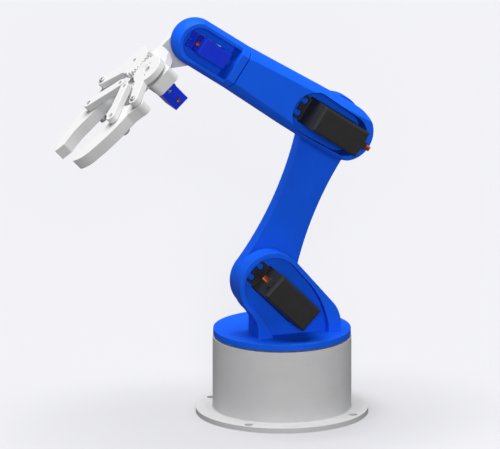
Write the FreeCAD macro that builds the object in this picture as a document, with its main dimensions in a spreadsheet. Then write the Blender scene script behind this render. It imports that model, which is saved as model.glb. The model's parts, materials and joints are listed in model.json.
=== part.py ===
"""Desktop robot arm: five axes and a two-claw gripper, as separate named pieces.

Frame: +Z up, +X the way the arm reaches, +Y the side that the servos are fitted from.
The origin is the centre of the base's underside. All sizes are in millimetres.
"""
import FreeCAD, Part
import math
import os
import re

V = FreeCAD.Vector
Placement = FreeCAD.Placement
Rotation = FreeCAD.Rotation

# ---------------------------------------------------------------- driving dimensions
SIZES = {
    # base
    "flange_radius": 61.7, "flange_thick": 3.7, "drum_radius": 49.7, "drum_wall": 3.0,
    "drum_top": 56.3, "drum_roof": 4.0, "bolt_circle": 56.3, "bolt_hole": 3.0,
    "rub_ring_radius": 44.0, "rub_ring_width": 4.0, "rub_ring_height": 1.0,
    "cradle_floor": 36.3, "waist_tab_level": 46.3, "cradle_margin": 4.0,
    # waist bracket
    "disc_radius": 49.3, "disc_bottom": 57.6, "disc_top": 62.0,
    "shoulder_reach": 16.5, "shoulder_height": 100.0, "head_radius": 24.6, "head_rim": 3.4,
    "bracket_front": 25.8, "bracket_floor": 18.2, "bracket_back": 10.8,
    "foot_back": 4.0, "foot_height": 12.0, "foot_front": 27.0, "foot_rear": 35.5,
    # lower arm
    "arm_length": 122.0, "arm_angle": 114.7, "arm_face": 8.4, "arm_thick": 11.0,
    "arm_root_radius": 22.6, "arm_tip_radius": 22.5, "arm_waist": 15.0, "hub_radius": 8.8,
    "hub_height": 2.9,
    # forearm
    "forearm_angle": 34.4, "tube_axis": 28.2, "forearm_length": 96.2, "tube_rear": 18.9,
    "tube_rear_radius": 21.7, "tube_half": 20.2, "tube_lift": 1.2, "tube_wrist_radius": 17.2,
    "facet_depth": 13.8, "forearm_back": 18.8, "elbow_floor": 3.7,
    "elbow_recess_rear": 14.8, "elbow_recess_front": 16.4, "elbow_recess_run": 30.6,
    "bay_start": 66.0, "bay_half": 8.5, "bay_back": 23.6, "roll_tab_level": 85.8,
    "bore_radius": 10.0, "wire_channel": 4.0,
    # wrist
    "wrist_start": 97.4, "collar_end": 103.3, "pitch_axis": 127.1, "wrist_round": 134.9,
    "wrist_dome_lift": 1.0,
    "wrist_front": 9.8, "wrist_back": 10.7, "wrist_floor": 4.7, "wrist_recess_half": 12.0,
    "wrist_recess_round": 135.0,
    # gripper
    "gripper_angle": -43.0, "gear_forward": 40.8, "gear_spread": 13.5, "gear_bottom": 19.7,
    "gear_thick": 5.0, "gear_root": 12.4, "gear_tip": 14.4, "teeth_in_circle": 30.0,
    "drive_teeth": 9.0, "idler_teeth": 10.0, "gear_backlash": 0.3, "link_length": 29.6,
    "right_link_angle": 38.6, "left_link_angle": 32.8, "link_spread": 4.5,
    "link_forward": 19.3, "link_half": 3.8, "gripper_shift": 1.4,
    "palm_servo_level": 4.4, "palm_bottom": 6.9, "palm_top": 17.35,
    "palm_rear": 28.7, "palm_front": 48.5, "palm_left": 18.2, "palm_right": 24.9,
    "neck_thick": 6.0, "wrist_sweep": 25.6,
    "palm_corner": 4.0, "tongue_thick": 5.0, "spacer_top": 19.4, "spacer_radius": 4.0,
    "cheek_inner": 13.6, "cheek_thick": 5.0, "cheek_radius": 16.6,
    "claw_bottom": 10.4, "claw_top": 19.4, "claw_root": 4.4, "claw_nut": 4.0,
    # standard-size servo
    "case_near": 9.0, "case_far": 31.7, "case_half": 9.95, "case_bottom": 27.0,
    "case_joint": 18.6, "case_top": 9.9, "case_bevel": 1.4,
    "boss_radius": 6.5, "boss_height": 0.8,
    "tab_near": 16.9, "tab_far": 37.6, "tab_half": 9.0, "tab_thick": 2.5,
    "slot_near": 14.4, "slot_far": 35.1, "slot_half_pitch": 5.0, "slot_radius": 2.2,
    "spline_radius": 2.95, "spline_start": 4.0, "spline_bore": 3.0, "fit_gap": 0.25,
    # micro servo
    "micro_near": 5.9, "micro_far": 16.9, "micro_half": 6.1, "micro_bottom": 15.9,
    "micro_joint": 2.5, "micro_top": 6.8, "micro_boss_radius": 5.9, "micro_boss_top": 10.8,
    "micro_tab_near": 10.6, "micro_tab_far": 21.6, "micro_hole_near": 8.4, "micro_hole_far": 19.4,
    "micro_hole": 1.0, "micro_spline": 2.3, "micro_spline_bore": 2.36, "micro_spline_start": 8.0,
    # horns and fasteners
    "horn_radius": 9.0, "horn_thick": 2.3, "horn_pocket": 9.2, "horn_hole_circle": 6.5,
    "micro_horn_radius": 8.0, "micro_horn_thick": 2.0, "micro_horn_pocket": 8.2,
    "access_radius": 4.0, "micro_access": 3.0, "screw_head": 2.6, "screw_head_thick": 1.8,
    "screw_shank": 1.5, "screw_bite": 5.0, "small_head": 1.9, "small_head_thick": 1.2,
    "small_shank": 1.0, "pin_shank": 0.8, "pivot_radius": 1.5, "pivot_bore": 1.58,
    "pivot_loose": 1.95, "pivot_head": 2.3, "pivot_head_thick": 0.9, "pivot_gap": 0.3,
    "nut_radius": 3.1, "nut_thick": 2.4, "horn_screw_head": 3.5, "wire_radius": 0.6,
    "horn_plate": 1.6, "relief_length": 4.2, "wire_end": 8.4, "thin_wire": 0.45,
}

doc = FreeCAD.newDocument("robot_arm")
sheet = doc.addObject("Spreadsheet::Sheet", "sizes")
for row, (alias, value) in enumerate(SIZES.items(), start=1):
    sheet.set("A%d" % row, alias)
    sheet.set("B%d" % row, str(value))
    sheet.setAlias("B%d" % row, alias)
doc.recompute()

nodes = []


def size(alias):
    """The number in the sheet's cell of that name."""
    return float(sheet.get(alias))


def cells(text):
    """The expression with every alias pointed at its cell in the sheet."""
    def point(found):
        return "sizes." + found.group() if found.group() in SIZES else found.group()
    return re.sub(r"[a-z][a-z_]+", point, str(text))


# ---------------------------------------------------------------- building blocks
def solid(kind, spot, turn, dims):
    """A Part primitive at spot (expressions), turned, with its sizes as expressions."""
    piece = doc.addObject("Part::" + kind, kind.lower())
    piece.Placement = Placement(V(0, 0, 0), turn)
    for axis, text in zip("xyz", spot):
        piece.setExpression("Placement.Base." + axis, cells(text))
    for name, text in dims.items():
        piece.setExpression(name, cells(text))
    return piece


def block(along, across, up):
    """A box from three (low, high) pairs of expressions."""
    spans = {"Length": along, "Width": across, "Height": up}
    dims = {name: "(%s) - (%s)" % (high, low) for name, (low, high) in spans.items()}
    return solid("Box", (along[0], across[0], up[0]), Rotation(), dims)


def rod(centre, span, radius):
    """A cylinder along local Z, centred on (x, y) and reaching over span (low, high)."""
    dims = {"Radius": radius, "Height": "(%s) - (%s)" % (span[1], span[0])}
    return solid("Cylinder", (centre[0], centre[1], span[0]), Rotation(), dims)


def rod_along_x(centre, span, radius):
    """A cylinder along local X, centred on (y, z)."""
    dims = {"Radius": radius, "Height": "(%s) - (%s)" % (span[1], span[0])}
    turn = Rotation(V(0, 1, 0), 90)
    return solid("Cylinder", (span[0], centre[0], centre[1]), turn, dims)


def nut(centre, span, radius):
    """A hexagonal nut along local Z."""
    dims = {"Circumradius": radius, "Height": "(%s) - (%s)" % (span[1], span[0])}
    return solid("Prism", (centre[0], centre[1], span[0]), Rotation(), dims)


def fuse(*pieces):
    if len(pieces) == 1:
        return pieces[0]
    joined = doc.addObject("Part::MultiFuse", "fuse")
    joined.Shapes = list(pieces)
    return joined


def cut(base, *tools):
    result = doc.addObject("Part::Cut", "cut")
    result.Base = base
    result.Tool = fuse(*tools)
    return result


def common(first, second):
    result = doc.addObject("Part::Common", "common")
    result.Base = first
    result.Tool = second
    return result


def group(*pieces):
    """Separate solids that share one node."""
    bundle = doc.addObject("Part::Compound", "group")
    bundle.Links = list(pieces)
    return bundle


def rounded(base, radius, chosen, kind="Fillet"):
    """Rounds or chamfers the edges of base for which chosen(edge) is true."""
    doc.recompute()
    result = doc.addObject("Part::" + kind, kind.lower())
    result.Base = base
    picked = [i for i, edge in enumerate(base.Shape.Edges, start=1) if chosen(edge)]
    result.Edges = [(i, radius, radius) for i in picked]
    return result


def upright(edge):
    """True for a straight edge along local Z."""
    if not isinstance(edge.Curve, Part.Line):
        return False
    return abs(edge.tangentAt(edge.FirstParameter).z) > 0.999


def at_level(level):
    """A test for edges that lie wholly at one height."""
    def test(edge):
        box = edge.BoundBox
        return abs(box.ZMin - level) < 0.01 and abs(box.ZMax - level) < 0.01
    return test


def plate(curves, low, high):
    """A PartDesign body: a sketch of the closed curves, padded from low to high along local Z."""
    body = doc.addObject("PartDesign::Body", "plate")
    sketch = body.newObject("Sketcher::SketchObject", "outline")
    planes = {feature.Role: feature for feature in body.Origin.OriginFeatures}
    sketch.AttachmentSupport = [(planes["XY_Plane"], "")]
    sketch.MapMode = "FlatFace"
    sketch.setExpression("AttachmentOffset.Base.z", cells(low))
    sketch.addGeometry(curves)
    pad = body.newObject("PartDesign::Pad", "thickness")
    pad.Profile = sketch
    pad.setExpression("Length", cells("(%s) - (%s)" % (high, low)))
    body.Tip = pad
    return body


def trace(start, *steps):
    """Closed curves from start: a step is a point, or a (via, end) pair for an arc."""
    curves = []
    here = V(start[0], start[1], 0)
    for step in list(steps) + [start]:
        if isinstance(step[0], tuple):
            via, end = V(step[0][0], step[0][1], 0), V(step[1][0], step[1][1], 0)
            curves.append(Part.Arc(here, via, end))
        else:
            end = V(step[0], step[1], 0)
            if (end - here).Length < 1e-6:
                continue
            curves.append(Part.LineSegment(here, end))
        here = end
    return curves


def polar(centre, radius, degrees):
    """The point at that radius and angle from centre."""
    angle = math.radians(degrees)
    return (centre[0] + radius * math.cos(angle), centre[1] + radius * math.sin(angle))


def strap(first, first_radius, second, second_radius):
    """The outline of a belt round two circles."""
    run = math.hypot(second[0] - first[0], second[1] - first[1])
    heading = math.degrees(math.atan2(second[1] - first[1], second[0] - first[0]))
    lean = math.degrees(math.acos((first_radius - second_radius) / run))
    return trace(
        polar(first, first_radius, heading + lean),
        (polar(first, first_radius, heading + 180), polar(first, first_radius, heading - lean)),
        polar(second, second_radius, heading - lean),
        (polar(second, second_radius, heading), polar(second, second_radius, heading + lean)),
    )


def node(label, piece, frame=Placement()):
    """Names a finished sub-part and sets it in its place."""
    piece.Label = label
    piece.Placement = frame
    nodes.append(piece)


# ---------------------------------------------------------------- frames
def side_frame(x, depth, z, degrees):
    """Local X lies at that angle in the side view, and local Z points to the far side."""
    turn = Rotation(V(1, 0, 0), 90).multiply(Rotation(V(0, 0, 1), degrees))
    return Placement(V(x, depth, z), turn)


SHOULDER = (size("shoulder_reach"), size("shoulder_height"))
ELBOW = polar(SHOULDER, size("arm_length"), size("arm_angle"))
PITCH = polar(ELBOW, size("pitch_axis"), size("forearm_angle"))
REAR = size("forearm_angle") + 180.0

WAIST_SERVO = Placement(V(0, 0, size("waist_tab_level")), Rotation(V(0, 0, 1), 180))
UPRIGHT = side_frame(0, 0, 0, 0)
SHOULDER_SERVO_DEPTH = size("bracket_floor") + size("tab_thick")
SHOULDER_SERVO = side_frame(SHOULDER[0], SHOULDER_SERVO_DEPTH, SHOULDER[1], 225)
LOWER_ARM = side_frame(SHOULDER[0], size("arm_face"), SHOULDER[1], size("arm_angle"))
ELBOW_HUB = side_frame(ELBOW[0], size("arm_face"), ELBOW[1], size("arm_angle"))
FOREARM = side_frame(ELBOW[0], size("tube_axis"), ELBOW[1], size("forearm_angle"))
ELBOW_SERVO_LEVEL = size("elbow_floor") - size("tab_thick")
ELBOW_SERVO = FOREARM.multiply(Placement(V(0, 0, ELBOW_SERVO_LEVEL), Rotation()))
ROLL_TURN = Rotation(V(0, 0, 1), V(0, -1, 0), V(1, 0, 0), "ZXY")
ROLL_SERVO = FOREARM.multiply(Placement(V(size("roll_tab_level"), 0, 0), ROLL_TURN))
PITCH_SERVO_DEPTH = size("tube_axis") - size("wrist_floor") + size("tab_thick")
PITCH_SERVO = side_frame(PITCH[0], PITCH_SERVO_DEPTH, PITCH[1], REAR)
GRIPPER_TURN = Rotation(V(0, 1, 0), -size("gripper_angle"))
GRIPPER = Placement(V(PITCH[0], size("tube_axis") - size("gripper_shift"), PITCH[1]), GRIPPER_TURN)
CHEEK_SPOT = V(0, size("gripper_shift") - size("cheek_inner"), 0)
CHEEK = GRIPPER.multiply(Placement(CHEEK_SPOT, Rotation(V(1, 0, 0), 90)))
DRIVE_SPOT = V(size("gear_forward"), size("gear_spread"), 0)
IDLER_SPOT = V(size("gear_forward"), -size("gear_spread"), 0)
DRIVE_PIVOT = GRIPPER.multiply(Placement(DRIVE_SPOT, Rotation()))
GRIPPER_SERVO_SEAT = DRIVE_SPOT + V(0, 0, size("palm_servo_level"))
GRIPPER_SERVO = GRIPPER.multiply(Placement(GRIPPER_SERVO_SEAT, Rotation(V(0, 0, 1), -90)))


# ---------------------------------------------------------------- servos, in their own frame
# The origin is on the output axis at the tabs' underside; +Z is the shaft, +X the far end.
def standard_servo(name, frame):
    """Bottom cover, middle case with tabs, gear cover and strain relief with wire stubs."""
    whole = ("-case_near", "case_far")
    wide = ("-case_half", "case_half")
    cover = rounded(block(whole, wide, ("-case_bottom", "-case_joint")), size("case_bevel"),
                    at_level(-size("case_bottom")), "Chamfer")
    node(name + "_bottom_cover", group(cover), frame)

    tabs = block(("-tab_near", "tab_far"), ("-tab_half", "tab_half"), ("0", "tab_thick"))
    slots = []
    for centre, low, high in (("-slot_near", "-tab_near - 1", "-slot_near"),
                              ("slot_far", "slot_far", "tab_far + 1")):
        for side in ("-", ""):
            middle = side + "slot_half_pitch"
            slots.append(rod((centre, middle), ("-1", "tab_thick + 1"), "slot_radius"))
            band = (middle + " - slot_radius * 0.8", middle + " + slot_radius * 0.8")
            slots.append(block((low, high), band, ("-1", "tab_thick + 1")))
    case = block(whole, wide, ("-case_joint", "tab_thick"))
    node(name + "_case", cut(fuse(case, tabs), *slots), frame)

    lid = rounded(block(whole, wide, ("tab_thick", "case_top")), 1.0, at_level(size("case_top")))
    boss = rod(("0", "0"), ("case_top - 1", "case_top + boss_height"), "boss_radius")
    well = rod(("0", "0"), ("spline_start - 0.5", "case_top + 5"), "spline_bore")
    node(name + "_gear_cover", cut(fuse(lid, boss), well), frame)

    relief = block(("-case_near - relief_length", "-case_near"), ("-2.9", "2.9"),
                   ("-case_joint - 3.8", "-case_joint - 0.3"))
    span = ("-case_near - wire_end", "-case_near - relief_length")
    wires = [rod_along_x((offset, "-case_joint - 2.05"), span, "wire_radius")
             for offset in ("-wire_radius * 2", "0", "wire_radius * 2")]
    node(name + "_lead", group(relief, *wires), frame)


def micro_servo(name, frame):
    """Case with tabs, gear cap and strain relief with wire stubs."""
    wide = ("-micro_half", "micro_half")
    whole = ("-micro_near", "micro_far")
    body = rounded(block(whole, wide, ("-micro_bottom", "micro_joint")), 0.5, upright)
    tabs = block(("-micro_tab_near", "micro_tab_far"), wide, ("0", "tab_thick"))
    holes = []
    for centre, low, high in (("-micro_hole_near", "-micro_tab_near - 1", "-micro_hole_near"),
                              ("micro_hole_far", "micro_hole_far", "micro_tab_far + 1")):
        holes.append(rod((centre, "0"), ("-1", "tab_thick + 1"), "micro_hole"))
        holes.append(block((low, high), ("-0.6", "0.6"), ("-1", "tab_thick + 1")))
    node(name + "_case", cut(fuse(body, tabs), *holes), frame)

    lid = rounded(block(whole, wide, ("micro_joint", "micro_top")), 0.5, upright)
    big_boss = rod(("0", "0"), ("micro_top - 1", "micro_boss_top"), "micro_boss_radius")
    small_boss = rod(("6.6", "0"), ("micro_top - 1", "micro_boss_top"), "2.7")
    well = rod(("0", "0"), ("micro_spline_start - 0.5", "micro_boss_top + 5"), "micro_spline_bore")
    node(name + "_cap", cut(fuse(lid, big_boss, small_boss), well), frame)

    relief = block(("-micro_near - 1.2", "-micro_near"), ("-1.6", "1.6"), ("-11.7", "-10.1"))
    span = ("-micro_near - 3.2", "-micro_near - 1.2")
    wires = [rod_along_x((offset, "-10.9"), span, "thin_wire")
             for offset in ("-thin_wire * 2", "0", "thin_wire * 2")]
    node(name + "_lead", group(relief, *wires), frame)


def output_shaft(name, frame, radius, start, end):
    """The splined output shaft, bored for the horn screw; teeth are left off the spline."""
    bore = rod(("0", "0"), ("(%s) - 6" % end, "(%s) + 1" % end), "small_shank")
    node(name, cut(rod(("0", "0"), (start, end), radius), bore), frame)


HORN_HOLES = (("horn_hole_circle", "0"), ("-horn_hole_circle", "0"),
              ("0", "horn_hole_circle"), ("0", "-horn_hole_circle"))


def disc_horn(name, frame, radius, low, high, bore):
    """A round servo horn with four small holes."""
    through = ("(%s) - 1" % low, "(%s) + 1" % high)
    drills = [rod(spot, through, "small_shank") for spot in HORN_HOLES]
    drills.append(rod(("0", "0"), through, bore))
    node(name, cut(rod(("0", "0"), (low, high), radius), *drills), frame)


def centre_screw(level, head):
    """The screw that holds a horn on its shaft; its head sits above level."""
    shank = rod(("0", "0"), ("(%s) - 5" % level, level), "small_shank")
    return fuse(shank, rod(("0", "0"), (level, "(%s) + screw_head_thick" % level), head))


def ring_screws(head_low, head_high, tip):
    """Four small screws through the driven piece into the horn's holes."""
    return [fuse(rod(spot, (tip, head_low), "small_shank"), rod(spot, (head_low, head_high), "small_head"))
            for spot in HORN_HOLES]


def tab_screws(name, frame, spots, head, shank, radii):
    """Screws through a servo's tabs; head and shank are (low, high) spans."""
    screws = [fuse(rod(spot, head, radii[0]), rod(spot, shank, radii[1])) for spot in spots]
    node(name, group(*screws), frame)


# ---------------------------------------------------------------- base
def make_base():
    """The grey drum with its bolt flange and the cradle that holds the waist servo."""
    flange = rod(("0", "0"), ("0", "flange_thick"), "flange_radius")
    drum = rod(("0", "0"), ("0", "drum_top"), "drum_radius")
    cove = rounded(fuse(flange, drum), 1.0, drum_foot)
    ring = cut(rod(("0", "0"), ("drum_top - 1", "drum_top + rub_ring_height"), "rub_ring_radius"),
               rod(("0", "0"), ("drum_top - 2", "drum_top + 3"), "rub_ring_radius - rub_ring_width"))
    hollow = rod(("0", "0"), ("-1", "drum_top - drum_roof"), "drum_radius - drum_wall")
    shell = cut(cove, hollow)
    snug = ("-case_half - fit_gap", "case_half + fit_gap")
    cradle = block(("-tab_far - cradle_margin", "tab_near + cradle_margin"),
                   ("-case_half - cradle_margin", "case_half + cradle_margin"),
                   ("cradle_floor", "drum_top - drum_roof"))
    case_hole = block(("-case_far - fit_gap", "case_near + fit_gap"), snug,
                      ("cradle_floor - 1", "drum_top + 5"))
    tab_hole = block(("-tab_far - fit_gap", "tab_near + fit_gap"), snug,
                     ("waist_tab_level", "drum_top + 5"))
    pilots = [rod((x, y), ("waist_tab_level - screw_bite", "waist_tab_level + 1"), "screw_shank")
              for x in ("-slot_far", "slot_near") for y in ("-slot_half_pitch", "slot_half_pitch")]
    holes = []
    for quarter in (45, 135, 225, 315):
        spot = ("bolt_circle * cos(%d deg)" % quarter, "bolt_circle * sin(%d deg)" % quarter)
        holes.append(rod(spot, ("-1", "flange_thick + 1"), "bolt_hole"))
    node("base_housing", cut(fuse(shell, cradle, ring), case_hole, tab_hole, *(pilots + holes)))


def drum_foot(edge):
    """True for the circle where the drum meets the flange."""
    on_flange = at_level(size("flange_thick"))(edge)
    return on_flange and abs(edge.BoundBox.XMax - size("drum_radius")) < 0.01


def make_waist_drive():
    """The servo in the base that turns the waist, and its horn."""
    standard_servo("waist_servo", WAIST_SERVO)
    spots = [(x, y) for x in ("-slot_near", "slot_far") for y in ("-slot_half_pitch", "slot_half_pitch")]
    tab_screws("waist_servo_screws", WAIST_SERVO, spots, ("tab_thick", "tab_thick + screw_head_thick"),
               ("-screw_bite", "tab_thick"), ("screw_head", "screw_shank"))
    top = "disc_bottom + 2.5 - waist_tab_level"
    output_shaft("waist_servo_shaft", WAIST_SERVO, "spline_radius", "spline_start", top)
    disc_horn("waist_horn", WAIST_SERVO, "horn_radius", top + " - horn_thick", top, "spline_radius")
    node("waist_horn_screw", group(centre_screw(top, "horn_screw_head")), WAIST_SERVO)


# ---------------------------------------------------------------- waist bracket
def make_waist_bracket():
    """The turning disc with the upright frame that carries the shoulder servo."""
    top, front, rear = size("disc_top"), size("foot_front"), -size("foot_rear")
    head, rim = size("head_radius"), size("head_rim")
    lean = 139.2
    slope = (math.sin(math.radians(lean)), -math.cos(math.radians(lean)))
    shoulder_tangent = polar(SHOULDER, head, lean)
    corner_z = shoulder_tangent[1] - (shoulder_tangent[0] - rear) / slope[0] * slope[1]
    bend = 8.0
    bend_start = (rear + bend * slope[0], corner_z + bend * slope[1])
    outer = trace(
        (front, top - 1), (front, top + 7),
        ((front + 2.4, top + 14.2), polar(SHOULDER, head - 0.05, -42.5)),
        SHOULDER, shoulder_tangent, bend_start,
        ((rear + 1.3, corner_z - 1.2), (rear, corner_z - bend)), (rear, top - 1))
    inner_root = polar(SHOULDER, head - rim, lean)
    inner = trace(
        (front - 11, top), ((front - 6.5, top + 9), polar(SHOULDER, head - rim, -45.9)), SHOULDER,
        inner_root, (inner_root[0] - 17 * slope[0], inner_root[1] - 17 * slope[1]),
        ((rear + 13.2, top + 20), (rear + 9.3, top + 6)), (rear + 9.3, top))
    deep = ("-bracket_front", "-bracket_back")
    open_front = ("-bracket_front - 1", "-bracket_floor")
    shoulder_spot = ("shoulder_reach", "shoulder_height")
    frame_solid = fuse(plate(outer, *deep), rod(shoulder_spot, deep, "head_radius"))
    dished = cut(frame_solid, plate(inner, *open_front),
                 rod(shoulder_spot, open_front, "head_radius - head_rim"))
    foot = block(("-foot_rear", "foot_front"), ("disc_top - 1", "disc_top + foot_height"),
                 ("-bracket_back", "-foot_back"))
    upright_part = fuse(dished, foot)
    upright_part.Placement = UPRIGHT

    disc = rod(("0", "0"), ("disc_bottom", "disc_top"), "disc_radius")
    pocket = rod(("0", "0"), ("disc_bottom - 1", "disc_bottom + 2.5"), "horn_pocket")
    access = rod(("0", "0"), ("disc_bottom", "disc_top + 1"), "access_radius")
    gear_hole = block(("-case_near - fit_gap", "case_far + fit_gap"),
                      ("-case_half - fit_gap", "case_half + fit_gap"), ("-tab_thick", "case_top + 3"))
    pilots = [rod(("slot_far", y), ("0", "tab_thick + screw_bite"), "screw_shank")
              for y in ("-slot_half_pitch", "slot_half_pitch")]
    servo_space = fuse(gear_hole, *pilots)
    servo_space.Placement = SHOULDER_SERVO
    node("waist_bracket", cut(fuse(disc, upright_part), pocket, access, servo_space))


def make_shoulder_drive():
    """The shoulder servo in the bracket, and the horn that turns the lower arm."""
    standard_servo("shoulder_servo", SHOULDER_SERVO)
    spots = [("slot_far", "-slot_half_pitch"), ("slot_far", "slot_half_pitch")]
    tab_screws("shoulder_servo_screws", SHOULDER_SERVO, spots, ("-screw_head_thick", "0"),
               ("0", "tab_thick + screw_bite"), ("screw_head", "screw_shank"))
    top = "bracket_floor + tab_thick - arm_face + 2.5"
    output_shaft("shoulder_servo_shaft", SHOULDER_SERVO, "spline_radius", "spline_start", top)
    disc_horn("shoulder_horn", LOWER_ARM, "horn_radius", "2.5 - horn_thick", "2.5", "spline_radius")
    ring = ring_screws("arm_thick", "arm_thick + small_head_thick", "0.3")
    node("shoulder_horn_screws", group(centre_screw("2.5", "horn_screw_head"), *ring), LOWER_ARM)


# ---------------------------------------------------------------- lower arm
def make_lower_arm():
    """The waisted link between shoulder and elbow, with a horn seat at each end."""
    run = size("arm_length")
    root, tip, waist = size("arm_root_radius"), size("arm_tip_radius"), size("arm_waist")
    low, high, middle = 3.0, run - 10.0, run / 2 + 1
    low_half = math.sqrt(root ** 2 - low ** 2)
    high_half = math.sqrt(tip ** 2 - (run - high) ** 2)
    sides = trace((low, low_half), ((middle, waist), (high, high_half)), (high, -high_half),
                  ((middle, -waist), (low, -low_half)))
    deep = ("0", "arm_thick")
    body = fuse(plate(sides, *deep), rod(("0", "0"), deep, "arm_root_radius"),
                rod(("arm_length", "0"), deep, "arm_tip_radius"),
                rod(("arm_length", "0"), ("-hub_height", "1"), "hub_radius"))
    pocket = rod(("0", "0"), ("-1", "2.5"), "horn_pocket")
    through = ("-hub_height - 1", "arm_thick + 1")
    access = [rod((x, "0"), through, "access_radius") for x in ("0", "arm_length")]
    drills = [rod(("%s + (%s)" % (x, hole[0]), hole[1]), through, "small_shank")
              for x in ("0", "arm_length") for hole in HORN_HOLES]
    node("lower_arm", cut(body, pocket, *(access + drills)), LOWER_ARM)


def make_elbow_drive():
    """The elbow servo in the forearm, with its horn fixed to the lower arm's hub."""
    standard_servo("elbow_servo", ELBOW_SERVO)
    spots = [("-slot_near", "-slot_half_pitch"), ("-slot_near", "slot_half_pitch")]
    tab_screws("elbow_servo_screws", ELBOW_SERVO, spots, ("-screw_head_thick", "0"),
               ("0", "tab_thick + screw_bite"), ("screw_head", "screw_shank"))
    top = "tube_axis - elbow_floor + tab_thick - arm_face - hub_height"
    output_shaft("elbow_servo_shaft", ELBOW_SERVO, "spline_radius", "spline_start", top)
    disc_horn("elbow_horn", ELBOW_HUB, "horn_radius", "-hub_height - horn_thick", "-hub_height",
              "spline_radius")
    ring = ring_screws("arm_thick", "arm_thick + small_head_thick", "-hub_height - horn_thick + 0.3")
    node("elbow_horn_screws", group(centre_screw("-hub_height", "horn_screw_head"), *ring), ELBOW_HUB)


# ---------------------------------------------------------------- forearm
def make_forearm():
    """The tapering round tube with a flat face, the elbow recess and the roll servo's bay."""
    run, rear, lift = size("forearm_length"), size("tube_rear"), size("tube_lift")
    lean = Rotation(V(0, 0, 1), V(run + rear, -lift, 0))
    taper = solid("Cone", ("-tube_rear", "tube_lift", "0"), lean,
                  {"Radius1": "tube_rear_radius", "Radius2": "tube_wrist_radius",
                   "Height": "forearm_length + tube_rear + 0.5"})
    wide, narrow = size("tube_half"), size("tube_wrist_radius") + 1
    plan = trace((0, lift + wide), ((-rear, lift), (0, lift - wide)), (run, -narrow), (run, narrow))
    tube = common(taper, plate(plan, "-facet_depth", "forearm_back"))
    bay = rounded(block(("bay_start", "forearm_length"), ("-bay_half", "bay_half"), ("8", "bay_back")),
                  3.0, outer_bay_edge)
    recess_plan = strap((0, 0), size("elbow_recess_rear"),
                        (size("elbow_recess_run"), 0), size("elbow_recess_front"))
    recess = plate(recess_plan, "-facet_depth - 9", "elbow_floor")
    gear_hole = block(("-case_near - fit_gap", "case_far + fit_gap"),
                      ("-case_half - fit_gap", "case_half + fit_gap"),
                      ("elbow_floor - 1", "elbow_floor + case_top - tab_thick + 0.3"))
    bore = rod(("0", "0"), ("elbow_floor", "forearm_back + 1"), "bore_radius")
    tab_space = block(("-tab_near - 0.4", "0"), ("-tab_half - fit_gap", "tab_half + fit_gap"),
                      ("elbow_floor - tab_thick - screw_head_thick - 0.2", "elbow_floor"))
    pilots = [rod(("-slot_near", y), ("elbow_floor - 1", "elbow_floor + screw_bite"), "screw_shank")
              for y in ("-slot_half_pitch", "slot_half_pitch")]
    half = ("-micro_half - fit_gap", "micro_half + fit_gap")
    roll_tabs = block(("roll_tab_level", "forearm_length + 1"), half,
                      ("-micro_tab_near - fit_gap", "micro_tab_far + fit_gap"))
    roll_case = block(("roll_tab_level - micro_bottom - fit_gap", "roll_tab_level + 1"), half,
                      ("-micro_near - fit_gap", "micro_far + fit_gap"))
    lead_way = block(("roll_tab_level - 14", "forearm_length + 1"), ("-2.3", "2.3"),
                     ("-micro_near - 3.8", "0"))
    pins = [rod_along_x(("0", z), ("roll_tab_level - screw_bite", "roll_tab_level + 1"), "pin_shank")
            for z in ("-micro_hole_near", "micro_hole_far")]
    channel = rod_along_x(("0", "0"), ("elbow_recess_run + 10", "roll_tab_level - micro_bottom"),
                          "wire_channel")
    hollows = [recess, gear_hole, bore, tab_space, roll_tabs, roll_case, lead_way, channel]
    node("forearm", cut(fuse(tube, bay), *(hollows + pilots + pins)), FOREARM)


def outer_bay_edge(edge):
    """True for the bay's long outer edges and its rear outer edge."""
    return at_level(size("bay_back"))(edge) and edge.BoundBox.XMin < size("forearm_length") - 0.01


def make_roll_drive():
    """The micro servo in the forearm's end that rolls the wrist."""
    micro_servo("roll_servo", ROLL_SERVO)
    tab_screws("roll_servo_screws", ROLL_SERVO, [("-micro_hole_near", "0"), ("micro_hole_far", "0")],
               ("tab_thick", "tab_thick + small_head_thick"), ("-screw_bite", "tab_thick"),
               ("small_head", "pin_shank"))
    top = "wrist_start + micro_horn_thick + 0.4 - roll_tab_level"
    output_shaft("roll_servo_shaft", ROLL_SERVO, "micro_spline", "micro_spline_start", top)
    disc_horn("roll_horn", ROLL_SERVO, "micro_horn_radius", top + " - micro_horn_thick", top,
              "micro_spline")
    node("roll_horn_screw", group(centre_screw(top, "2.6")), ROLL_SERVO)


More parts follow.
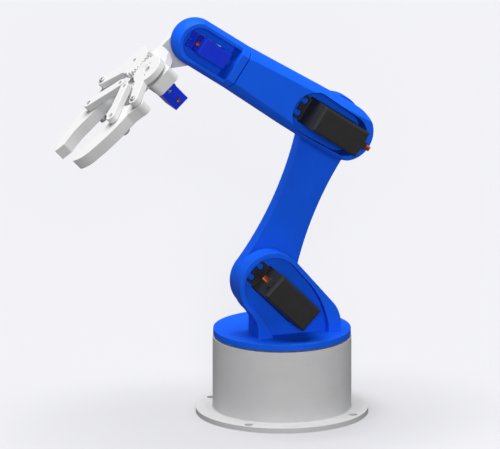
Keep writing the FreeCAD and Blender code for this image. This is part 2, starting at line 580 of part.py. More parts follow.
# ---------------------------------------------------------------- wrist
def make_wrist():
    """The rolling wrist: a round collar, then a flat-faced, domed housing for the pitch servo."""
    span = ("wrist_start", "wrist_round + tube_wrist_radius")
    tube = rod_along_x(("0", "0"), span, "tube_wrist_radius")
    round_part = ("wrist_start", "wrist_round")
    domed = fuse(rod_along_x(("0", "-wrist_dome_lift"), round_part, "tube_wrist_radius"),
                 solid("Sphere", ("wrist_round", "0", "-wrist_dome_lift"), Rotation(),
                       {"Radius": "tube_wrist_radius"}))
    slab = block(span, ("-tube_wrist_radius", "tube_wrist_radius"), ("-wrist_front", "wrist_back"))
    housing = common(common(tube, domed), slab)
    collar = common(rod_along_x(("0", "0"), ("wrist_start", "collar_end"), "tube_wrist_radius"),
                    block(("wrist_start - 1", "collar_end + 1"), ("-30", "30"), ("-facet_depth", "30")))
    half, bend = size("wrist_recess_half"), size("wrist_recess_round")
    recess_plan = trace((size("collar_end"), half), (size("collar_end"), -half), (bend, -half),
                        ((bend + half, 0), (bend, half)))
    recess = plate(recess_plan, "-facet_depth - 5", "wrist_floor")
    servo_hole = block(("pitch_axis - micro_far - fit_gap", "pitch_axis + micro_near + fit_gap"),
                       ("-micro_half - fit_gap", "micro_half + fit_gap"),
                       ("wrist_floor - 1", "wrist_back + 1"))
    pilot = rod(("pitch_axis - micro_hole_far", "0"), ("wrist_floor - 1", "wrist_floor + screw_bite"),
                "pin_shank")
    pocket = rod_along_x(("0", "0"), ("wrist_start - 1", "wrist_start + micro_horn_thick + 0.4"),
                         "micro_horn_pocket")
    access = rod_along_x(("0", "0"), ("wrist_start", "collar_end + 1"), "micro_access")
    node("wrist", cut(fuse(housing, collar), recess, servo_hole, pilot, pocket, access), FOREARM)


def make_pitch_drive():
    """The micro servo in the wrist that tips the gripper."""
    micro_servo("pitch_servo", PITCH_SERVO)
    tab_screws("pitch_servo_screw", PITCH_SERVO, [("micro_hole_far", "0")], ("-small_head_thick", "0"),
               ("0", "tab_thick + screw_bite"), ("small_head", "pin_shank"))
    top = "tab_thick - wrist_floor + cheek_inner + 2.6"
    output_shaft("pitch_servo_shaft", PITCH_SERVO, "micro_spline", "micro_spline_start", top)
    disc_horn("pitch_horn", PITCH_SERVO, "micro_horn_radius", top + " - micro_horn_thick", top,
              "micro_spline")
    node("pitch_horn_screw", group(centre_screw(top, "2.6")), PITCH_SERVO)


# ---------------------------------------------------------------- gripper
# In the gripper's frame +X is forward, +Y the servo side and +Z the upper side.
def make_gripper_base():
    """The palm, the cheek and neck that join it to the wrist, and the tongue for the links."""
    rear, front = "palm_rear", "palm_front"
    palm = rounded(block((rear, front), ("-palm_left", "palm_right"), ("palm_bottom", "palm_top")),
                   size("palm_corner"), upright)
    tongue_root = (size("palm_front") - 4.0, 0.0)
    tongue_tip = (size("gear_forward") + size("link_forward"), 0.0)
    tongue = plate(strap(tongue_root, 13.0, tongue_tip, 9.5), "palm_top - tongue_thick", "palm_top")
    spots = [("gear_forward", "-gear_spread"), ("gear_forward + link_forward", "link_spread"),
             ("gear_forward + link_forward", "-link_spread")]
    spacers = [rod(spot, ("palm_top - 1", "spacer_top"), "spacer_radius") for spot in spots]
    bolts = [rod(spot, ("palm_bottom - 1", "spacer_top + 1"), "pivot_radius") for spot in spots]

    reach = size("cheek_radius")
    nose = (26.4, 0.3)
    lean = math.degrees(math.acos(reach / math.hypot(*nose)) - math.atan2(nose[1], nose[0]))
    outline = trace((0, reach), (30, size("palm_top")), (30, size("palm_bottom")), nose,
                    polar((0, 0), reach, -lean), ((-reach, 0), (0, reach)))
    cheek = plate(outline, "0", "cheek_thick")
    horn_seat = rod(("0", "0"), ("-1", "2.6"), "micro_horn_pocket")
    access = rod(("0", "0"), ("0", "cheek_thick + 1"), "micro_access")
    side = cut(cheek, horn_seat, access)
    side.Placement = GRIPPER.inverse().multiply(CHEEK)

    neck_plan = trace((30, CHEEK_SPOT.y - 1), (30, 12.4), (size(rear), 12.4), (20.3, 3.8),
                      (19.4, -5), (19.4, CHEEK_SPOT.y - 1))
    sweep = solid("Cylinder", ("0", "palm_right", "0"), Rotation(V(1, 0, 0), 90),
                  {"Radius": "wrist_sweep", "Height": "palm_right + cheek_inner - gripper_shift"})
    neck = cut(plate(neck_plan, "palm_top - neck_thick", "palm_top"), sweep)

    middle = ("gear_forward - micro_half - fit_gap", "gear_forward + micro_half + fit_gap")
    case_room = block(middle, ("gear_spread - micro_far - fit_gap", "gear_spread + micro_near + fit_gap"),
                      ("palm_bottom - 1", "palm_servo_level + micro_top + 0.3"))
    boss_room = rod(("gear_forward", "gear_spread"), ("palm_bottom", "palm_top + 1"),
                    "micro_boss_radius + 0.3")
    small_room = rod(("gear_forward", "gear_spread - 6.6"), ("palm_bottom", "palm_top + 1"), "3")
    pins = [rod(("gear_forward", y), ("palm_bottom - 1", "palm_bottom + screw_bite"), "pin_shank")
            for y in ("gear_spread + micro_hole_near", "gear_spread - micro_hole_far")]
    hollows = [case_room, boss_room, small_room]
    node("gripper_base", cut(fuse(palm, tongue, side, neck, *spacers), *(hollows + bolts + pins)),
         GRIPPER)

    high = "gear_bottom + gear_thick + pivot_gap"
    fasteners = []
    for spot, under in zip(spots, ("palm_bottom", "palm_top - tongue_thick", "palm_top - tongue_thick")):
        fasteners.append(fuse(rod(spot, (under + " - nut_thick", high), "pivot_radius"),
                              rod(spot, (high, high + " + pivot_head_thick"), "pivot_head")))
        fasteners.append(cut(nut(spot, (under + " - nut_thick", under), "nut_radius"),
                             rod(spot, (under + " - nut_thick - 1", under + " + 1"), "pivot_radius")))
    node("gripper_pivot_bolts", group(*fasteners), GRIPPER)


def make_gripper_drive():
    """The micro servo under the palm that drives the gears."""
    micro_servo("gripper_servo", GRIPPER_SERVO)
    tab_screws("gripper_servo_screws", GRIPPER_SERVO, [("-micro_hole_near", "0"), ("micro_hole_far", "0")],
               ("-small_head_thick", "0"), ("0", "tab_thick + screw_bite"), ("small_head", "pin_shank"))
    output_shaft("gripper_servo_shaft", GRIPPER_SERVO, "micro_spline", "micro_spline_start",
                 "gear_bottom + horn_plate - palm_servo_level")
    arms = horn_arms(0.0, ("gear_bottom", "gear_bottom + horn_plate"))
    hub = ("palm_servo_level + micro_boss_top + 0.4", "gear_bottom + 0.1")
    arms.append(rod(("0", "0"), hub, "3.5"))
    drills = horn_drills(("gear_bottom - 1", "gear_bottom + 3"))
    drills.append(rod(("0", "0"), ("palm_bottom", "gear_bottom + 3"), "micro_spline"))
    node("gripper_horn", cut(fuse(*arms), *drills), DRIVE_PIVOT)
    node("gripper_horn_screw", group(centre_screw("gear_bottom + horn_plate", "2.3")), DRIVE_PIVOT)


def horn_arms(gap, span):
    """The two tapering arms of the gripper's horn, in line with the drive gear's arm."""
    tips = [polar((0, 0), 8.0, size("right_link_angle") + turn) for turn in (0, 180)]
    return [plate(strap(tip, 2.0 + gap, (0, 0), 3.6 + gap), *span) for tip in tips]


def horn_drills(span):
    """The small holes near the ends of the gripper horn's arms."""
    spots = [polar((0, 0), 6.0, size("right_link_angle") + turn) for turn in (0, 180)]
    return [rod((str(x), str(y)), span, "pin_shank") for x, y in spots]


def involute(base_radius, radius):
    """The involute angle, in radians, at that radius."""
    pressure = math.acos(min(1.0, base_radius / radius))
    return math.tan(pressure) - pressure


def tooth(degrees):
    """One gear tooth, centred on that angle, from inside the root to the tip."""
    pitch, count = size("gear_spread"), size("teeth_in_circle")
    base = pitch * math.cos(math.radians(20.0))
    half_at_pitch = (math.pi / count - size("gear_backlash") / (2 * pitch)) / 2
    middle = math.radians(degrees)

    def flank(radius, side):
        swing = half_at_pitch + involute(base, pitch) - involute(base, max(radius, base))
        angle = middle + side * swing
        return (radius * math.cos(angle), radius * math.sin(angle))

    root, tip = size("gear_root"), size("gear_tip")
    knee = max(root, base)
    inner = root - 0.6
    return trace(flank(inner, -1), flank(knee, -1), (flank((knee + tip) / 2, -1), flank(tip, -1)),
                 flank(tip, 1), (flank((knee + tip) / 2, 1), flank(knee, 1)), flank(inner, 1))


GEAR_THROUGH = ("gear_bottom - 1", "gear_bottom + gear_thick + 1")


def link_reach(side):
    """From a link's fixed pivot to its loose one; side is +1 on the right, -1 on the left."""
    angle = size("right_link_angle") if side > 0 else -size("left_link_angle")
    return polar((0, 0), size("link_length"), angle)


def gear_arm(side, made):
    """A gear sector with its arm; side is +1 for the driven one, -1 for the idler."""
    facing = -90.0 * side
    step = 360.0 / size("teeth_in_circle")
    lift = ("gear_bottom", "gear_bottom + gear_thick")
    teeth = [plate(tooth(facing + (k - (made - 1) / 2.0) * step), *lift) for k in range(made)]
    outer_end = link_reach(side)
    neck = (8.2, side * 2.6)
    arm = plate(strap(neck, 5.0, outer_end, 4.0), *lift)
    disc = rod(("0", "0"), lift, "gear_root")
    pivot = rod((str(outer_end[0]), str(outer_end[1])), GEAR_THROUGH, "pivot_bore")
    return fuse(disc, arm, *teeth), pivot


def make_gear_arms():
    """The two meshing gear arms that swing the claws."""
    drive, drive_pivot = gear_arm(1, int(size("drive_teeth")))
    cutters = horn_arms(0.1, ("gear_bottom - 1", "gear_bottom + horn_plate")) + horn_drills(GEAR_THROUGH)
    node("drive_gear_arm", cut(drive, drive_pivot, rod(("0", "0"), GEAR_THROUGH, "2.5"), *cutters),
         DRIVE_PIVOT)
    idler, idler_pivot = gear_arm(-1, int(size("idler_teeth")))
    centre = rod(("0", "0"), GEAR_THROUGH, "pivot_bore")
    idler_frame = GRIPPER.multiply(Placement(IDLER_SPOT, Rotation()))
    node("idler_gear_arm", cut(idler, idler_pivot, centre), idler_frame)


def claw_pivots(side):
    """Where the claw meets its gear arm and its link, in the gripper's frame."""
    ahead, out = link_reach(side)
    gear = (size("gear_forward") + ahead, side * size("gear_spread") + out)
    link = (size("gear_forward") + size("link_forward") + ahead, side * size("link_spread") + out)
    return gear, link


def make_link(name, side):
    """The plain inner link of one parallelogram."""
    near = (size("gear_forward") + size("link_forward"), side * size("link_spread"))
    far = claw_pivots(side)[1]
    lift = ("gear_bottom", "gear_bottom + gear_thick")
    bar = plate(strap(near, size("link_half"), far, size("link_half")), *lift)
    fixed = rod((str(near[0]), str(near[1])), GEAR_THROUGH, "pivot_bore")
    loose = rod((str(far[0]), str(far[1])), GEAR_THROUGH, "pivot_loose")
    node(name, cut(bar, fixed, loose), GRIPPER)


def make_claw(name, side):
    """A curved claw with a flat gripping pad at its tip, and its two pivot bolts."""
    gear, link = claw_pivots(side)

    def at(out, ahead):
        return (gear[0] + ahead, gear[1] + side * out)

    outline = trace(
        at(2.9, 3.3), at(-0.1, 10.3), (at(-0.5, 33.1), at(-3.7, 47.6)), (at(-7.3, 55.5), at(-13.7, 60.7)),
        at(-16.5, 52.7), (at(-14.1, 43.6), at(-13.9, 33.1)), at(-14.7, 16.1), at(-5.6, -3.0),
        at(-0.9, -4.3))
    lift = ("claw_bottom", "claw_top")
    body = fuse(plate(outline, *lift), rod((str(gear[0]), str(gear[1])), lift, "claw_root"))
    gear_spot, link_spot = [(str(spot[0]), str(spot[1])) for spot in (gear, link)]
    gear_hole = rod(gear_spot, ("claw_bottom + 2", "claw_top + 1"), "pivot_radius")
    link_hole = rod(link_spot, ("claw_bottom - 1", "claw_top + 1"), "pivot_radius")
    node(name, cut(body, gear_hole, link_hole), GRIPPER)

    high = "gear_bottom + gear_thick + pivot_gap"
    cap = (high, high + " + pivot_head_thick")
    short = fuse(rod(gear_spot, ("claw_bottom + 2", high), "pivot_radius"),
                 rod(gear_spot, cap, "pivot_head"))
    long = fuse(rod(link_spot, ("claw_bottom - claw_nut", high), "pivot_radius"),
                rod(link_spot, cap, "pivot_head"))
    ring = cut(nut(link_spot, ("claw_bottom - claw_nut", "claw_bottom"), "nut_radius"),
               rod(link_spot, ("claw_bottom - claw_nut - 1", "claw_bottom + 1"), "pivot_radius"))
    node(name + "_bolts", group(short, long, ring), GRIPPER)


# ---------------------------------------------------------------- assembly and export
def check(objects):
    """Stops if any object failed or any sub-part has no sound shape."""
    for item in objects:
        if "Invalid" in item.State or "Error" in item.State:
            raise RuntimeError("%s (%s) failed: %s" % (item.Label, item.TypeId, item.State))
    for item in nodes:
        if item.Shape.isNull() or not item.Shape.isValid() or not item.Shape.Solids:
            raise RuntimeError("%s has no sound shape" % item.Label)


def main():
    make_base()
    make_waist_drive()
    make_waist_bracket()
    make_shoulder_drive()
    make_lower_arm()
    make_elbow_drive()
    make_forearm()
    make_roll_drive()
    make_wrist()
    make_pitch_drive()
    make_gripper_base()
    make_gripper_drive()
    make_gear_arms()
    for name, side in (("right", 1), ("left", -1)):
        make_link(name + "_link", side)
        make_claw(name + "_claw", side)
    doc.recompute()
    check(doc.Objects)
    os.makedirs("parts", exist_ok=True)
    for item in nodes:
        item.Shape.exportStep(os.path.join("parts", item.Label + ".step"))
        print("%-26s %2d solid(s) %9.1f mm3" % (item.Label, len(item.Shape.Solids), item.Shape.Volume))
    print(len(nodes), "sub-parts")


main()
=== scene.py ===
"""Looks for the desktop robot arm: materials, rounded edges, detailed fasteners, light, camera."""

import json
import math

import bmesh
import bpy
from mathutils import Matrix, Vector
from mathutils.bvhtree import BVHTree

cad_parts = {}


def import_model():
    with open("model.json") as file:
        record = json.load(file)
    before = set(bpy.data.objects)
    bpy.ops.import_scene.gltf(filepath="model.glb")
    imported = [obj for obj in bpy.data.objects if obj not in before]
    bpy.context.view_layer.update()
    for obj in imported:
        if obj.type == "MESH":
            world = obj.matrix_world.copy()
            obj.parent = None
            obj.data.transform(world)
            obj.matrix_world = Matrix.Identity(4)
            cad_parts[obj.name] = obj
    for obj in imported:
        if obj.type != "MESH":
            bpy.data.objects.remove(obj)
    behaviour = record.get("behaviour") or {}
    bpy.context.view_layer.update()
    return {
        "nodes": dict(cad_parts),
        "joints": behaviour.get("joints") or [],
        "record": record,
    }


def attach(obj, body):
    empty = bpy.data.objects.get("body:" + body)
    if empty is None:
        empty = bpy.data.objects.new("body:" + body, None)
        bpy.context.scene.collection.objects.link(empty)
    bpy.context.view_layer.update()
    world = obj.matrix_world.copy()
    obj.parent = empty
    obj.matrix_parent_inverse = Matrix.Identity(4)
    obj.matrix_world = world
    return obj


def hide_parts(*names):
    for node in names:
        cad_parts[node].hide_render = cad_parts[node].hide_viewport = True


MM = 0.001
WELD_GAP = 0.000002            # split corners closer than this are one corner
FACET_ANGLE = math.radians(0.4)  # flatter folds than this are dissolved
EDGE_ANGLE = math.radians(32)  # sharper folds than this are rounded
LAYER_PITCH = 0.0002           # height of one printed layer
SCREW_EDGE = 0.00004           # rounding on screws, bolts and nuts
TURN_STEPS = 36                # corners round a turned piece

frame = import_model()
NODES = frame["nodes"]
JOINTS = {joint["name"]: joint for joint in frame["joints"]}
BODY_OF = {node: body for body, members in frame["record"]["behaviour"]["bodies"].items()
           for node in members}


def joint_axis(name):
    return Vector(JOINTS[name]["axis"]).normalized()


# ---------------------------------------------------------------- directions at rest
UP = Vector((0, 0, 1))
NEAR = Vector((0, 1, 0))
FOREARM = joint_axis("wrist_roll")
PALM = joint_axis("gripper_drive")
AXIS_OF = {"waist": UP, "shoulder": NEAR, "elbow": NEAR, "roll": FOREARM, "pitch": NEAR,
           "gripper": PALM, "right": PALM, "left": PALM}


# ---------------------------------------------------------------- shader helpers
def new_material(name):
    material = bpy.data.materials.new(name)
    material.use_nodes = True
    tree = material.node_tree
    shader = next(n for n in tree.nodes if n.type == "BSDF_PRINCIPLED")
    return material, tree, shader


def add(tree, kind, **values):
    node = tree.nodes.new(kind)
    for name, value in values.items():
        setattr(node, name, value)
    return node


def set_inputs(node, **values):
    for name, value in values.items():
        node.inputs[name.replace("_", " ")].default_value = value
    return node


def object_point(tree):
    return add(tree, "ShaderNodeTexCoord").outputs["Object"]


def noise(tree, point, scale, detail=3.0, roughness=0.55):
    node = add(tree, "ShaderNodeTexNoise")
    set_inputs(node, Scale=scale, Detail=detail, Roughness=roughness)
    tree.links.new(point, node.inputs["Vector"])
    return node.outputs["Fac"]


def remap(tree, value, source, target=(0.0, 1.0)):
    """Carries the source range over to the target range and clips what lies outside."""
    node = add(tree, "ShaderNodeMapRange")
    tree.links.new(value, node.inputs["Value"])
    set_inputs(node, From_Min=source[0], From_Max=source[1], To_Min=target[0], To_Max=target[1])
    return node.outputs["Result"]


def math_node(tree, operation, first, second=None):
    node = add(tree, "ShaderNodeMath", operation=operation)
    for socket, value in zip(node.inputs, (first, second)):
        if value is None:
            continue
        if isinstance(value, (int, float)):
            socket.default_value = value
        else:
            tree.links.new(value, socket)
    return node.outputs[0]


def mix(tree, factor, first, second):
    """Mixes two colours; each is a socket or an (r, g, b) tuple."""
    node = add(tree, "ShaderNodeMix", data_type="RGBA")
    tree.links.new(factor, node.inputs["Factor"])
    for name, value in (("A", first), ("B", second)):
        socket = [s for s in node.inputs if s.name == name and s.type == "RGBA"][0]
        if isinstance(value, tuple):
            socket.default_value = (*value, 1.0)
        else:
            tree.links.new(value, socket)
    return [s for s in node.outputs if s.type == "RGBA"][0]


def along(tree, point, axis):
    """Distance of the shaded point from the origin along axis."""
    dot = add(tree, "ShaderNodeVectorMath", operation="DOT_PRODUCT")
    tree.links.new(point, dot.inputs[0])
    dot.inputs[1].default_value = tuple(axis)
    return dot.outputs["Value"]


def edge_mask(tree, radius):
    """Near 1 on worn edges, 0 on open faces."""
    bevel = add(tree, "ShaderNodeBevel", samples=4)
    bevel.inputs["Radius"].default_value = radius
    geometry = add(tree, "ShaderNodeNewGeometry")
    dot = add(tree, "ShaderNodeVectorMath", operation="DOT_PRODUCT")
    tree.links.new(bevel.outputs["Normal"], dot.inputs[0])
    tree.links.new(geometry.outputs["Normal"], dot.inputs[1])
    return remap(tree, dot.outputs["Value"], (0.98, 0.80))


def scaled(colour, factor):
    return tuple(min(1.0, channel * factor) for channel in colour)


def blotched(tree, point, colour, scale, variation):
    """A colour that is a little darker in some places and lighter in others."""
    blotch = remap(tree, noise(tree, point, scale, detail=4.0), (0.3, 0.7))
    return mix(tree, blotch, scaled(colour, 1 - variation), scaled(colour, 1 + variation))


def uneven_gloss(tree, shader, point, scale, rough, spread):
    value = noise(tree, point, scale)
    gloss = remap(tree, value, (0.3, 0.7), (rough - spread, rough + spread))
    tree.links.new(gloss, shader.inputs["Roughness"])


def bumps(tree, shader, height, strength, distance):
    bump = add(tree, "ShaderNodeBump")
    set_inputs(bump, Strength=strength, Distance=distance)
    tree.links.new(height, bump.inputs["Height"])
    tree.links.new(bump.outputs["Normal"], shader.inputs["Normal"])


# ---------------------------------------------------------------- materials
def printed(name, colour, layers, rough=0.55, variation=0.05):
    """Printed plastic: fine layer lines across one direction, faint blotches, paler worn edges."""
    material, tree, shader = new_material(name)
    point = object_point(tree)
    base = blotched(tree, point, colour, 70.0, variation)
    height = along(tree, point, layers)
    layer_space = add(tree, "ShaderNodeCombineXYZ")
    tree.links.new(height, layer_space.inputs["X"])
    streaks = noise(tree, layer_space.outputs["Vector"], 1400.0, detail=2.0)
    streaked = mix(tree, remap(tree, streaks, (0.35, 0.65), (0.0, 0.35)), base, scaled(colour, 0.93))
    rubbed = remap(tree, noise(tree, point, 260.0), (0.4, 0.65), (0.0, 0.35))
    worn = math_node(tree, "MULTIPLY", edge_mask(tree, 0.0006), rubbed)
    pale = tuple(channel * 0.75 + 0.25 * max(colour) for channel in colour)
    tree.links.new(mix(tree, worn, streaked, pale), shader.inputs["Base Color"])
    uneven_gloss(tree, shader, point, 190.0, rough, 0.06)
    phase = math_node(tree, "MULTIPLY", height, 2 * math.pi / LAYER_PITCH)
    ridges = remap(tree, math_node(tree, "SINE", phase), (-1.0, 1.0))
    grain = noise(tree, point, 2600.0, detail=2.0)
    bumps(tree, shader, math_node(tree, "ADD", ridges, grain), 0.35, 0.000012)
    set_inputs(shader, IOR=1.47, Specular_IOR_Level=0.09)
    return material


def moulded(name, colour, rough=0.45, specular=0.25, coat=0.0):
    """Moulded servo plastic: fine grain, small changes of gloss, paler edges."""
    material, tree, shader = new_material(name)
    point = object_point(tree)
    base = blotched(tree, point, colour, 120.0, 0.06)
    pale = tuple(channel * 0.85 + 0.06 for channel in colour)
    worn = math_node(tree, "MULTIPLY", edge_mask(tree, 0.0005), 0.4)
    tree.links.new(mix(tree, worn, base, pale), shader.inputs["Base Color"])
    uneven_gloss(tree, shader, point, 240.0, rough, 0.05)
    bumps(tree, shader, noise(tree, point, 3200.0, roughness=0.7), 0.5, 0.00002)
    set_inputs(shader, Specular_IOR_Level=specular, Coat_Weight=coat, Coat_Roughness=0.2)
    return material


def metal(name, colour, rough=0.3):
    """Turned metal: fine marks and small changes of gloss."""
    material, tree, shader = new_material(name)
    marks = noise(tree, object_point(tree), 900.0, detail=4.0, roughness=0.7)
    shade = mix(tree, marks, scaled(colour, 0.82), scaled(colour, 1.1))
    tree.links.new(shade, shader.inputs["Base Color"])
    gloss = remap(tree, marks, (0.3, 0.7), (rough - 0.08, rough + 0.1))
    tree.links.new(gloss, shader.inputs["Roughness"])
    bumps(tree, shader, marks, 0.3, 0.00001)
    set_inputs(shader, Metallic=1.0)
    return material


BLUE = (0.006, 0.105, 0.78)
GREY = (0.55, 0.55, 0.555)
WHITE = (0.62, 0.62, 0.62)
BLACK = (0.021, 0.021, 0.022)
VIOLET = (0.006, 0.032, 0.62)

blue_by_layers = {
    "waist_bracket": printed("blue_bracket", BLUE, NEAR),
    "lower_arm": printed("blue_lower_arm", BLUE, NEAR),
    "forearm": printed("blue_forearm", BLUE, FOREARM),
    "wrist": printed("blue_wrist", BLUE, FOREARM),
}
grey_print = printed("grey_print", GREY, UP, rough=0.6, variation=0.03)
white_print = printed("white_print", WHITE, PALM, rough=0.55, variation=0.02)
servo_black = moulded("servo_black", BLACK)
servo_blue = moulded("servo_blue", VIOLET, rough=0.34, specular=0.18, coat=0.05)
horn_white = moulded("horn_white", (0.72, 0.72, 0.70), rough=0.4)
steel = metal("steel", (0.62, 0.63, 0.65))
pivot_steel = metal("pivot_steel", (0.50, 0.50, 0.51), 0.55)
brass = metal("brass", (0.80, 0.60, 0.28), 0.25)
lead_relief = moulded("lead_relief", (0.030, 0.028, 0.028), rough=0.6)
lead_colours = [moulded("lead_orange", (0.62, 0.17, 0.02), rough=0.5),
                moulded("lead_red", (0.50, 0.015, 0.01), rough=0.5),
                moulded("lead_brown", (0.10, 0.035, 0.015), rough=0.5)]
BY_SLOT = {"grey_print": grey_print, "white_print": white_print, "servo_black": servo_black,
           "servo_blue": servo_blue, "steel": steel, "brass": brass, "horn_plastic": horn_white}
SLOT_OF = {sub["node"]: sub["material_slot"] for sub in frame["record"]["subparts"]}


# ---------------------------------------------------------------- CAD nodes: finish and rounded edges
# Share of the full width, kind of corner and clamping, from the roundest to the safest.
ROUNDING_TRIES = ((1.0, "MITER_ARC", False), (1.0, "MITER_SHARP", False), (0.6, "MITER_SHARP", False),
                  (0.35, "MITER_SHARP", False), (0.6, "MITER_SHARP", True))


def stray(piece):
    """How far the rounded surface goes from the CAD surface where it is worst."""
    flat = BVHTree.FromPolygons([corner.co for corner in piece.data.vertices],
                                [polygon.vertices for polygon in piece.data.polygons])
    shaped = piece.evaluated_get(bpy.context.evaluated_depsgraph_get())
    worst = max(flat.find_nearest(corner.co)[3] for corner in shaped.to_mesh().vertices)
    shaped.to_mesh_clear()
    return worst


def finish_surface(piece, width):
    """Joins the split corners, dissolves flat triangles and rounds the sharp edges.

    The first rounding that stays closer to the CAD surface than width is kept.
    """
    mesh = piece.data
    if "custom_normal" in mesh.attributes:
        mesh.attributes.remove(mesh.attributes["custom_normal"])
    mesh.polygons.foreach_set("use_smooth", [True] * len(mesh.polygons))
    weld = piece.modifiers.new("weld", "WELD")
    weld.merge_threshold = WELD_GAP
    flat = piece.modifiers.new("flat", "DECIMATE")
    flat.decimate_type = "DISSOLVE"
    flat.angle_limit = FACET_ANGLE
    bevel = piece.modifiers.new("edges", "BEVEL")
    bevel.segments = 2
    bevel.limit_method = "ANGLE"
    bevel.angle_limit = EDGE_ANGLE
    for share, miter, clamped in ROUNDING_TRIES:
        bevel.width = width * share
        bevel.miter_outer = miter
        bevel.use_clamp_overlap = clamped
        if stray(piece) < width:
            break
    normal = piece.modifiers.new("normals", "WEIGHTED_NORMAL")
    normal.keep_sharp = False
    normal.weight = 80


def islands(mesh):
    """The separate solids of a CAD node: each a set of polygon indices and a list of points."""
    shape = bmesh.new()
    shape.from_mesh(mesh)
    marker = shape.faces.layers.int.new("polygon")
    for face in shape.faces:
        face[marker] = face.index
    bmesh.ops.remove_doubles(shape, verts=shape.verts, dist=WELD_GAP)
    found, seen = [], set()
    for start in shape.faces:
        if start in seen:
            continue
        seen.add(start)
        queue, members = [start], []
        while queue:
            face = queue.pop()
            members.append(face)
            for corner in face.verts:
                for other in corner.link_faces:
                    if other not in seen:
                        seen.add(other)
                        queue.append(other)
        points = {corner.index: corner.co.copy() for face in members for corner in face.verts}
        found.append(({face[marker] for face in members}, list(points.values())))
    shape.free()
    return found


def middle(points):
    lows = [min(point[k] for point in points) for k in range(3)]
    highs = [max(point[k] for point in points) for k in range(3)]
    return (Vector(lows) + Vector(highs)) / 2


def colour_lead(piece):
    """A dark strain relief, and three wires in a servo lead's usual colours."""
    relief_first = sorted(islands(piece.data), key=lambda part: len(part[1]))
    wires = relief_first[1:]
    ends = [middle(points) for _, points in wires]
    spread = max(((a - b) for a in ends for b in ends), key=lambda gap: gap.length)
    order = sorted(range(3), key=lambda k: ends[k].dot(spread))
    piece.data.materials.clear()
    for material in [lead_relief] + lead_colours:
        piece.data.materials.append(material)
    for rank, k in enumerate(order):
        for index in wires[k][0]:
            piece.data.polygons[index].material_index = rank + 1


# Width of the rounded edges in millimetres, by material slot.
EDGE_WIDTH = {"blue_print": 0.45, "grey_print": 0.4, "white_print": 0.4, "servo_black": 0.35,
              "servo_blue": 0.3, "steel": 0.15, "brass": 0.1, "horn_plastic": 0.2, "wire_orange": 0.12}
for name, piece in NODES.items():
    kind = SLOT_OF[name]
    if kind == "wire_orange":
        colour_lead(piece)
    else:
        piece.data.materials.clear()
        piece.data.materials.append(blue_by_layers.get(name) or BY_SLOT[kind])
    finish_surface(piece, EDGE_WIDTH[kind] * MM)


# ---------------------------------------------------------------- detailed fasteners
def cross_radius(half_width, half_length):
    """Distance from the centre to a cross-shaped outline, as a function of the angle."""
    def radius(angle):
        x, y = abs(math.cos(angle)), abs(math.sin(angle))
        long, short = max(x, y), min(x, y)
        return min(half_length / long, half_width / short if short > 1e-9 else 1e9)
    return radius


def hexagon_radius(corner):
    """Distance from the centre to a hexagon with that corner radius, as a function of the angle."""
    flat = corner * math.cos(math.pi / 6)
    return lambda angle: flat / math.cos((angle % (math.pi / 3)) - math.pi / 6)


def turned(name, seat, axis, rings, angles):
    """A closed piece from rings (radius or outline function, height), from its top down."""
    side = axis.orthogonal().normalized()
    other = axis.cross(side)
    shape = bmesh.new()
    rows = []
    for outline, height in rings:
        row = []
        for angle in angles:
            reach = outline(angle) if callable(outline) else outline
            spot = side * math.cos(angle) + other * math.sin(angle)
            row.append(shape.verts.new(seat + axis * height + spot * reach))
        rows.append(row)
    count = len(angles)
    for upper, lower in zip(rows, rows[1:]):
        for k in range(count):
            shape.faces.new((upper[k], lower[k], lower[(k + 1) % count], upper[(k + 1) % count]))
    for row, height, flipped in ((rows[0], rings[0][1], False), (rows[-1], rings[-1][1], True)):
        hub = shape.verts.new(seat + axis * height)
        for k in range(count):
            fan = (hub, row[k], row[(k + 1) % count])
            shape.faces.new(tuple(reversed(fan)) if flipped else fan)
    bmesh.ops.recalc_face_normals(shape, faces=shape.faces)
    mesh = bpy.data.meshes.new(name)
    shape.to_mesh(mesh)
    shape.free()
    piece = bpy.data.objects.new(name, mesh)
    bpy.context.scene.collection.objects.link(piece)
    return piece


def round_angles(corners=()):
    """Even angles round the circle, with the outline's own corners added."""
    even = [2 * math.pi * k / TURN_STEPS for k in range(TURN_STEPS)]
    too_close = 0.03
    kept = [angle for angle in even if all(abs(angle - corner) > too_close for corner in corners)]
    return sorted(kept + list(corners))


def cross_corners(half_width, half_length):
    tip = math.atan2(half_width, half_length)
    quarter = [tip, math.pi / 4, math.pi / 2 - tip]
    return [angle + turn * math.pi / 2 for turn in range(4) for angle in quarter]


def measure(points, axis):
    """Centre line, levels and radii of one CAD fastener, with its head at the top of axis."""
    side = axis.orthogonal().normalized()
    other = axis.cross(side)
    centre = middle([Vector((p.dot(side), p.dot(other), 0)) for p in points])
    line = side * centre.x + other * centre.y
    reach = [(p - line - axis * p.dot(axis)).length for p in points]
    levels = [p.dot(axis) for p in points]
    on_axis, head_radius = 0.0001, 0.85 * max(reach)
    wide = [level for level, away in zip(levels, reach) if away > head_radius]
    narrow = [away for away in reach if on_axis < away < head_radius]
    upward = max(levels) - max(wide) < min(wide) - min(levels)
    return {"line": line, "low": min(levels), "high": max(levels), "head_low": min(wide),
            "head_high": max(wide), "radius": max(reach), "shank": max(narrow, default=0.0),
            "upward": upward}


